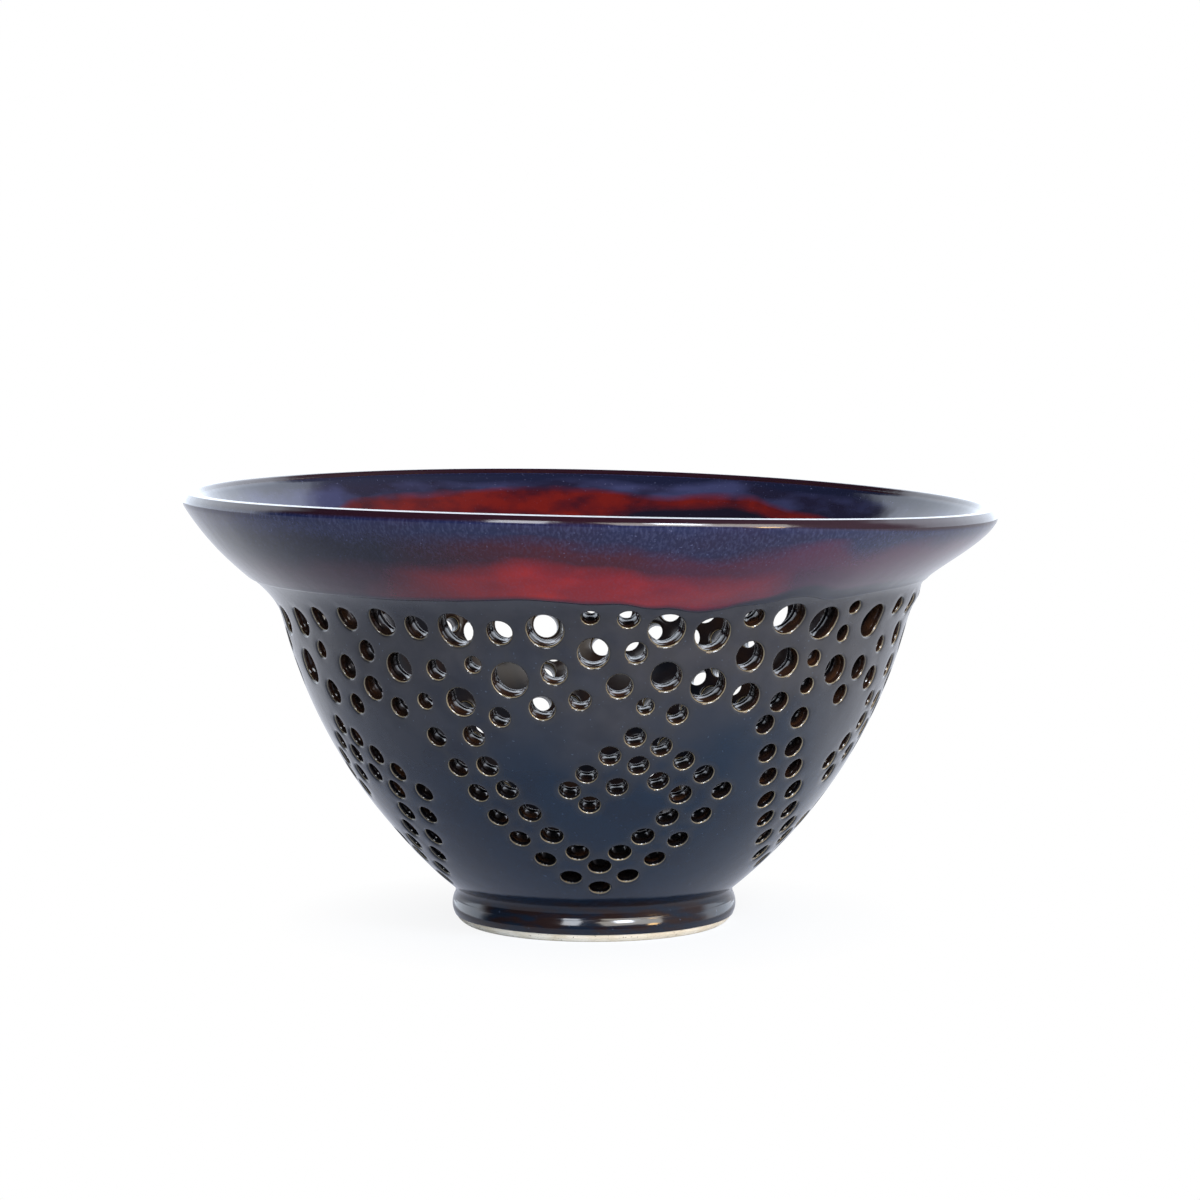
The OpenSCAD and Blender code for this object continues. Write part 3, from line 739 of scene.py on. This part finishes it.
def lip_line():
    """The lip's profile from the collar to the inside: points, outward normals, and how far round they are,
    which darkens the lip's maroon as painted shade where it faces up.
    """
    low_n = BLANK.normal[-1]
    tangent = np.array([-low_n[1], low_n[0]])
    inner_top = BLANK.outer[-1] - WALL_T * low_n
    inner_edge = inner_top + (BOWL_H - inner_top[1]) / tangent[1] * tangent
    dip = math.degrees(math.asin(low_n[1]))
    start_x = RIM_D / 2 - LIP_SET_BACK - LIP_ROLL_R * (1 - low_n[0])
    start = np.array([start_x, np.interp(start_x, BLANK.outer[:, 0], BLANK.outer[:, 1])])
    centre = start - LIP_ROLL_R * low_n
    points = [centre + LIP_ROLL_R * circle_way(t) for t in np.linspace(dip, LIP_LEAN, LIP_ROLL_STEPS + 1)]
    lean = circle_way(LIP_LEAN)
    face_top_h = BOWL_H - LIP_FALL - LIP_EDGE_R + LIP_EDGE_R * lean[1]
    face = (face_top_h - points[-1][1]) / lean[0]
    points += [points[-1] + share * face * np.array([-lean[1], lean[0]]) for share in LIP_FACE_SHARES]
    centre = points[-1] - LIP_EDGE_R * lean
    over_edge = np.linspace(LIP_LEAN, 90, LIP_EDGE_STEPS + 1)[1:]
    points += [centre + LIP_EDGE_R * circle_way(t) for t in over_edge]
    points += [points[-1] + LIP_TOP]
    points += [inner_edge + p for p in LIP_INNER_EDGE]
    step = np.gradient(np.array(points), axis=0)
    normals = np.stack([step[:, 1], -step[:, 0]], 1)
    normals /= np.linalg.norm(normals, axis=1)[:, None]
    shade_where_turned_up = (np.degrees(np.arcsin(normals[:, 1])) - dip) / (LIP_LEAN - dip)
    return zip(points, normals, np.clip(shade_where_turned_up, 0, 1))


def material(name, inputs_of, *kept):
    """A material whose shader takes the inputs that a function works out from values kept on the mesh."""
    made = bpy.data.materials.new(name)
    tree = emptied(made)
    kept = [add(tree, "ShaderNodeAttribute", attribute_name=value).outputs["Fac"] for value in kept]
    shader = add(tree, "ShaderNodeBsdfPrincipled", inputs_of(tree, *kept))
    add(tree, "ShaderNodeOutputMaterial", {"Surface": shader})
    return made


def cloud(tree, size_mm, detail=2, flatten=1):
    """A value that drifts round a half over about size_mm, and faster upwards where flatten is over one."""
    place = add(tree, "ShaderNodeTexCoord").outputs["Object"]
    place = add(tree, "ShaderNodeVectorMath", {0: place, 1: (1, 1, flatten)}, operation="MULTIPLY")
    return add(tree, "ShaderNodeTexNoise", {
        "Vector": place, "Scale": 1 / (size_mm * MM), "Detail": detail}).outputs["Fac"]


def wandering(tree, value, size_mm, reach, flatten=1, detail=3):
    """A value that a cloud moves up and down, so that what follows it gets an uneven edge."""
    drift = add(tree, "ShaderNodeMath", {
        0: cloud(tree, size_mm, detail, flatten), 1: 0.5}, operation="SUBTRACT")
    return add(tree, "ShaderNodeMath", {0: drift, 1: reach, 2: value}, operation="MULTIPLY_ADD")


def patches(tree, size_mm, start, full, least=0, most=1, detail=2, flatten=1):
    """A share that comes and goes in patches about size_mm wide."""
    return add(tree, "ShaderNodeMapRange", {
        "Value": cloud(tree, size_mm, detail, flatten), "From Min": start, "From Max": full, "To Min": least,
        "To Max": most})


def laid_over(tree, under, over, value, start, full, least=0, most=1, within=1):
    """One colour over another, from the least where a value is at the start to the most where it is full.

    Within thins it further.
    """
    share = add(tree, "ShaderNodeMapRange", {
        "Value": value, "From Min": start, "From Max": full, "To Min": least, "To Max": most})
    share = add(tree, "ShaderNodeMath", {0: share, 1: within}, operation="MULTIPLY")
    return add(tree, "ShaderNodeMix", {
        "Factor": share, MIX_UNDER: under, MIX_OVER: over}, data_type="RGBA").outputs[MIX_COLOUR]


def layers(tree, colour, *over):
    """A colour with others laid over it in turn, each given with its value and its shares."""
    for layer in over:
        colour = laid_over(tree, colour, *layer)
    return colour


def place_mm(tree, axis):
    """Place along an axis of the pot, in millimetres."""
    place = add(tree, "ShaderNodeTexCoord").outputs["Object"]
    place = add(tree, "ShaderNodeSeparateXYZ", {0: place}).outputs[axis]
    return add(tree, "ShaderNodeMath", {0: place, 1: 1 / MM}, operation="MULTIPLY")


def drawn(tree, value, table, reach):
    """A value read off a line drawn through points, given as (place, height) with heights up to reach."""
    low, high = table[0][0], table[-1][0]
    share = add(tree, "ShaderNodeMapRange", {"Value": value, "From Min": low, "From Max": high})
    node = add(tree, "ShaderNodeValToRGB", {"Fac": share})
    stops = node.color_ramp.elements
    for place, _ in table[1:-1]:
        stops.new((place - low) / (high - low))
    for stop, (_, height) in zip(sorted(stops, key=lambda stop: stop.position), table):
        stop.color = (height / reach, height / reach, height / reach, 1)
    return add(tree, "ShaderNodeMath", {0: node.outputs["Color"], 1: reach}, operation="MULTIPLY")


def relief(tree, size_mm, height_mm, strength, detail=2):
    """Soft relief about size_mm wide, as normals."""
    return add(tree, "ShaderNodeBump", {
        "Strength": strength, "Distance": height_mm * MM, "Height": cloud(tree, size_mm, detail)})


def slate_glaze(tree, away):
    """Iron-rich slate glaze on stoneware, run smooth in the firing, so that a window mirrors sharply in it.

    It is blue low down and grey near the collar, brown with iron on the foot, and breaks to pale tan on the
    rim of every hole.
    """
    height = place_mm(tree, "Z")
    up = wandering(tree, height, 34, 60)
    iron = laid_over(tree, "#131a26", "#23140c", cloud(tree, 7, 3, 4), 0.42, 0.6)
    broken = patches(tree, 15, 0.35, 0.6, 0.35, 0.9)
    brown = laid_over(tree, "#0d0c0f", "#24160f", up, 40, 60)
    colour = layers(
        tree, "#0b1f31", ("#363538", up, 40, 72), ("#0f1420", cloud(tree, 12, 3), 0.45, 0.65, 0, 0.4),
        (iron, height, 11, 9, 0, 0.85), ("#5a6a80", cloud(tree, 0.7, 1), 0.74, 0.78, 0, 0.35),
        ("#33312f", away, *GREY_HALO, 0, 0.45), ("#8f8268", away, *PALE_RIM, 0, 1, broken),
        (brown, away, *BROWN_SLEEVE))
    ring = drawn(tree, height, THROWING_RING, 1)
    rings = add(tree, "ShaderNodeBump", {
        "Distance": RING_RELIEF * MM, "Height": ring, "Normal": relief(tree, 8, 0.3, 0.3)})
    return {"Base Color": colour, "Roughness": GLAZE_ROUGHNESS, "IOR": GLAZE_IOR, "Normal": rings}


def dark_lining(tree, away):
    """The slate glaze inside the bowl, thinner and browner than outside, with the same pale rims."""
    colour = layers(
        tree, "#0c0d12", ("#1d1410", cloud(tree, 14, 3), 0.42, 0.62), ("#7d7159", away, *PALE_RIM, 0, 0.6),
        ("#0d0c0f", away, *BROWN_SLEEVE))
    return {"Base Color": colour, "Roughness": LINING_ROUGHNESS, "Specular IOR Level": LINING_SPECULAR}


def collar_outside(tree, x, from_line):
    """The collar's outer side: oxblood low down, maroon above it and speckled navy under the lip.

    It is reddest at the front, turns to navy on the left and plum on the right, and pools dark at its edge.
    """
    side = wandering(tree, x, 30, 40, detail=2)
    up = wandering(tree, from_line, 22, 9, flatten=3)
    red = layers(
        tree, "#8a121a", ("#a81b17", cloud(tree, 16, 3, 2), 0.38, 0.6), ("#331924", side, *LOST_LEFT),
        ("#3c1b33", side, *LOST_RIGHT))
    maroon = layers(tree, "#42101c", ("#101020", side, *LOST_LEFT), ("#482038", side, *LOST_RIGHT))
    navy = laid_over(tree, "#1b203e", "#211b35", cloud(tree, 26, 2, 3), 0.4, 0.65)
    streaks = patches(tree, 0.6, 0.45, 0.7, flatten=0.35)
    colour = layers(
        tree, red, (maroon, up, 8, 13), (navy, up, 16, 20), ("#474a69", up, 14, 21, 0.12, 0.4, streaks))
    nearer = add(tree, "ShaderNodeMapRange", {"Value": x, "From Min": 30, "From Max": 50, "To Max": -3.5})
    pooled = add(tree, "ShaderNodeMath", {0: from_line, 1: nearer}, operation="ADD")
    return laid_over(tree, colour, "#0d1426", pooled, 2.2, 0.5), up


def collar_lining(tree, x, from_lip):
    """The collar's inner side: mottled blue under the lip, then deep red, with a dark patch in it."""
    down = wandering(tree, from_lip, 26, 7, flatten=3)
    deep = laid_over(tree, "#5e1613", "#3a1018", cloud(tree, 9, 3, 2), 0.4, 0.65)
    blue = laid_over(tree, "#1c1a2e", "#333656", cloud(tree, 22, 3, 3), 0.42, 0.6)
    lining = laid_over(tree, "#171a30", blue, down, 2.5, 4.5)
    for colour, table, edge in (
            (deep, RED_LINING_FROM, (-1.2, 1.4)), ("#15121f", DARK_LINING_FROM, (-1.5, 1.5))):
        starts = drawn(tree, x, table, LINING_REACH)
        into = add(tree, "ShaderNodeMath", {0: down, 1: starts}, operation="SUBTRACT")
        lining = laid_over(tree, lining, colour, into, *edge)
    return lining


def oxblood_glaze(tree, from_line, from_lip, lip_maroon_and_shade, inside):
    """Copper-red glaze over slate on both sides of the collar: glossy like the slate. On the lip its maroon
    is darkened as painted shade where the lip faces up.
    """
    x = place_mm(tree, "X")
    outside, up = collar_outside(tree, x, from_line)
    specks = patches(tree, 0.55, 0.7, 0.78, detail=1)
    # Painted shade: the lip's dark maroon grows where the lip turns up, and reaches lower on the right
    shade_wider_right = add(tree, "ShaderNodeMapRange", {"Value": x, "From Min": 40, "From Max": 75, "To Max": 0.5})
    lip = add(tree, "ShaderNodeMath", {0: lip_maroon_and_shade, 1: shade_wider_right}, operation="ADD")
    colour = layers(
        tree, outside, (collar_lining(tree, x, from_lip), inside, 0, 1),
        ("#6f7396", up, 10, 18, 0.08, 0.45, specks), ("#24101a", lip, 0.6, 0.85))
    thick = relief(tree, 9, 0.3, 0.3)
    return {"Base Color": colour, "Roughness": GLAZE_ROUGHNESS, "IOR": GLAZE_IOR, "Normal": thick}


def bore_glaze(tree):
    """Thin glaze over tan clay, run into the bores: dark brown and wet-looking."""
    colour = laid_over(tree, "#140e0c", "#332014", cloud(tree, 11), 0.5, 0.62)
    return {"Base Color": colour, "Roughness": BORE_ROUGHNESS}


def bare_stoneware(tree):
    """Unglazed stoneware, wiped clean before the firing: matt, tan and slightly gritty."""
    colour = layers(
        tree, "#ead9bc", ("#fbeed8", cloud(tree, 4, 4), 0.35, 0.65),
        ("#9c8a70", cloud(tree, 0.5, 1), 0.68, 0.74))
    return {"Base Color": colour, "Roughness": BARE_ROUGHNESS, "Normal": relief(tree, 0.6, 0.1, 0.4, 3)}


def camera():
    """The photograph's camera: a long lens a little over the rim, looking slightly down."""
    data = bpy.data.cameras.new("camera")
    data.sensor_width = SENSOR_W
    data.lens = FOCAL_PX / FRAME_PX * SENSOR_W
    made = placed("camera", data)
    made.location = CAMERA_PLACE
    made.rotation_euler = (math.radians(90 - CAMERA_TILT), 0, 0)
    bpy.context.scene.camera = made


def lamps():
    """Soft rectangular lamps, turned to the bowl: the windows that mirror in it, and one warm lamp."""
    for name, place, size, power, colour in LAMPS:
        data = bpy.data.lights.new(name, "AREA")
        data.shape = "RECTANGLE"
        data.size, data.size_y = size
        data.energy = power
        data.color = linear(colour)[:3]
        made = placed(name, data)
        made.location = place
        made.rotation_euler = (Vector(LAMPS_AIM) - Vector(place)).to_track_quat("-Z", "Y").to_euler()


def surroundings():
    """A cool white sweep behind the bowl up to forty degrees, and a dark room round it, paler at the right.

    The camera sees plain white. In the glaze's mirror images the sweep is brighter than white.
    """
    world = bpy.data.worlds.new("room")
    bpy.context.scene.world = world
    tree = emptied(world)
    way = add(tree, "ShaderNodeTexCoord").outputs["Generated"]
    way = add(tree, "ShaderNodeSeparateXYZ", {0: way}).outputs
    behind = add(tree, "ShaderNodeMapRange", {"Value": way["Y"], "From Min": 0.1, "From Max": 0.3})
    below = add(tree, "ShaderNodeMapRange", {"Value": way["Z"], "From Min": 0.66, "From Max": 0.6})
    sweep = add(tree, "ShaderNodeMath", {0: behind, 1: below}, operation="MULTIPLY")
    rays = add(tree, "ShaderNodeLightPath").outputs
    room = layers(
        tree, "#2a2d33", ("#b4b2ba", way["X"], 0.3, 0.9), ("#e9f2ff", sweep, 0, 1),
        ("#ffffff", rays["Is Camera Ray"], 0, 1))
    mirrored = add(tree, "ShaderNodeMath", {0: rays["Is Glossy Ray"], 1: sweep}, operation="MULTIPLY")
    strength = add(tree, "ShaderNodeMath", {
        0: mirrored, 1: MIRRORED_SWEEP - 1, 2: 1}, operation="MULTIPLY_ADD")
    back = add(tree, "ShaderNodeBackground", {"Color": room, "Strength": strength})
    add(tree, "ShaderNodeOutputWorld", {"Surface": back})


def table_surface():
    """White to the camera but for the bowl's shadow, and in the glaze a sheen that grows behind the bowl."""
    surface = bpy.data.materials.new("white_table")
    tree = emptied(surface)
    rays = add(tree, "ShaderNodeLightPath").outputs
    place = add(tree, "ShaderNodeTexCoord").outputs["Object"]
    distance = add(tree, "ShaderNodeVectorMath", {0: place}, operation="LENGTH").outputs["Value"]
    white = add(tree, "ShaderNodeMapRange", {
        "Value": distance, "From Min": SHADOW_FROM, "From Max": SHADOW_TO, "To Min": SHADOW_WHITE})
    seen = add(tree, "ShaderNodeMath", {0: rays["Is Camera Ray"], 1: white}, operation="MULTIPLY")
    plain = add(tree, "ShaderNodeBsdfDiffuse", {"Color": "#c9d6e8"})
    glow = add(tree, "ShaderNodeEmission", {"Color": "#ffffff"})
    top = add(tree, "ShaderNodeMixShader", {0: seen, 1: plain, 2: glow})
    x, y = place_mm(tree, "X"), place_mm(tree, "Y")
    either = add(tree, "ShaderNodeMath", {0: x}, operation="ABSOLUTE")
    rightwards = add(tree, "ShaderNodeMath", {0: x, 1: either}, operation="ADD")
    behind = add(tree, "ShaderNodeMath", {0: rightwards, 1: 0.4, 2: y}, operation="MULTIPLY_ADD")
    colour = laid_over(tree, "#b0b5c6", "#f0f4ff", behind, -40, 130)
    sheen = add(tree, "ShaderNodeEmission", {"Color": colour})
    top = add(tree, "ShaderNodeMixShader", {0: rays["Is Glossy Ray"], 1: top, 2: sheen})
    add(tree, "ShaderNodeOutputMaterial", {"Surface": top})
    return surface


def table_top():
    """A white table that fades into the white sweep and keeps the bowl's shadow."""
    w = TABLE_HALF_W
    mesh = bpy.data.meshes.new("table")
    mesh.from_pydata([(-w, -w, 0), (w, -w, 0), (w, w, 0), (-w, w, 0)], [], [(0, 1, 2, 3)])
    mesh.materials.append(table_surface())
    placed("table", mesh)


def pierced_pieces():
    """The outer coat, the inner coat and the clay, all pierced by the same holes."""
    slate = material("iron_slate_glaze", slate_glaze, "from_edge")
    slate_inside = material("iron_slate_glaze_inside", dark_lining, "from_edge")
    bore = material("thin_glaze_over_stoneware", bore_glaze)
    wall_holes = wall_marks()
    all_holes = np.concatenate([wall_holes, drain_marks()])
    tree = pierced_sheet_tree()
    low, high = BLANK.rho[0], BLANK.rho[-1] * CLAY_TOP_SHARE
    line = BLANK.radius_at(GLAZE_LINE_H)
    inner_h = BLANK.outer[:, 1] - WALL_T * BLANK.normal[:, 1]
    inside_line = float(np.interp(INNER_LINE_H + COATS_OVERLAP, inner_h, BLANK.rho))
    wall_sheet = net(low, line, wall_holes, OUTER_GRAIN, (BARE_LINE_SIDES, LINE_SIDES))
    lining_sheet = net(0, inside_line, all_holes, INNER_GRAIN, (0, LINE_SIDES))
    clay_sheet = net(0, high, all_holes, CLAY_GRAIN, (0, CLAY_SIDES))
    return (
        pierced_piece("outer_slate_glaze", tree, wall_sheet, OUTER_SECTION, wall_holes, slate, True),
        pierced_piece("inner_slate_glaze", tree, lining_sheet, INNER_SECTION, all_holes, slate_inside),
        pierced_piece("thrown_clay", tree, clay_sheet, CLAY_SECTION, all_holes, bore))


def main():
    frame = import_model()
    bpy.context.scene.view_settings.view_transform = "Standard"
    camera()
    surroundings()
    table_top()
    lamps()

    outer, inner, clay = pierced_pieces()
    collar = collar_piece(material("copper_red_glaze", oxblood_glaze, *COLLAR_VALUES))
    foot = frame["nodes"]["foot_ring"].data.materials
    foot.clear()
    foot.append(material("bare_stoneware", bare_stoneware))

    for piece, node, slot in (
            (outer, "outer_glaze", "dark_slate_glaze"), (inner, "inner_glaze", "inner_slate_glaze"),
            (clay, "clay_bowl", "stoneware_body"), (collar, "rim_glaze", "red_blue_glaze")):
        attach(piece, "root")
        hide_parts(node)


main()
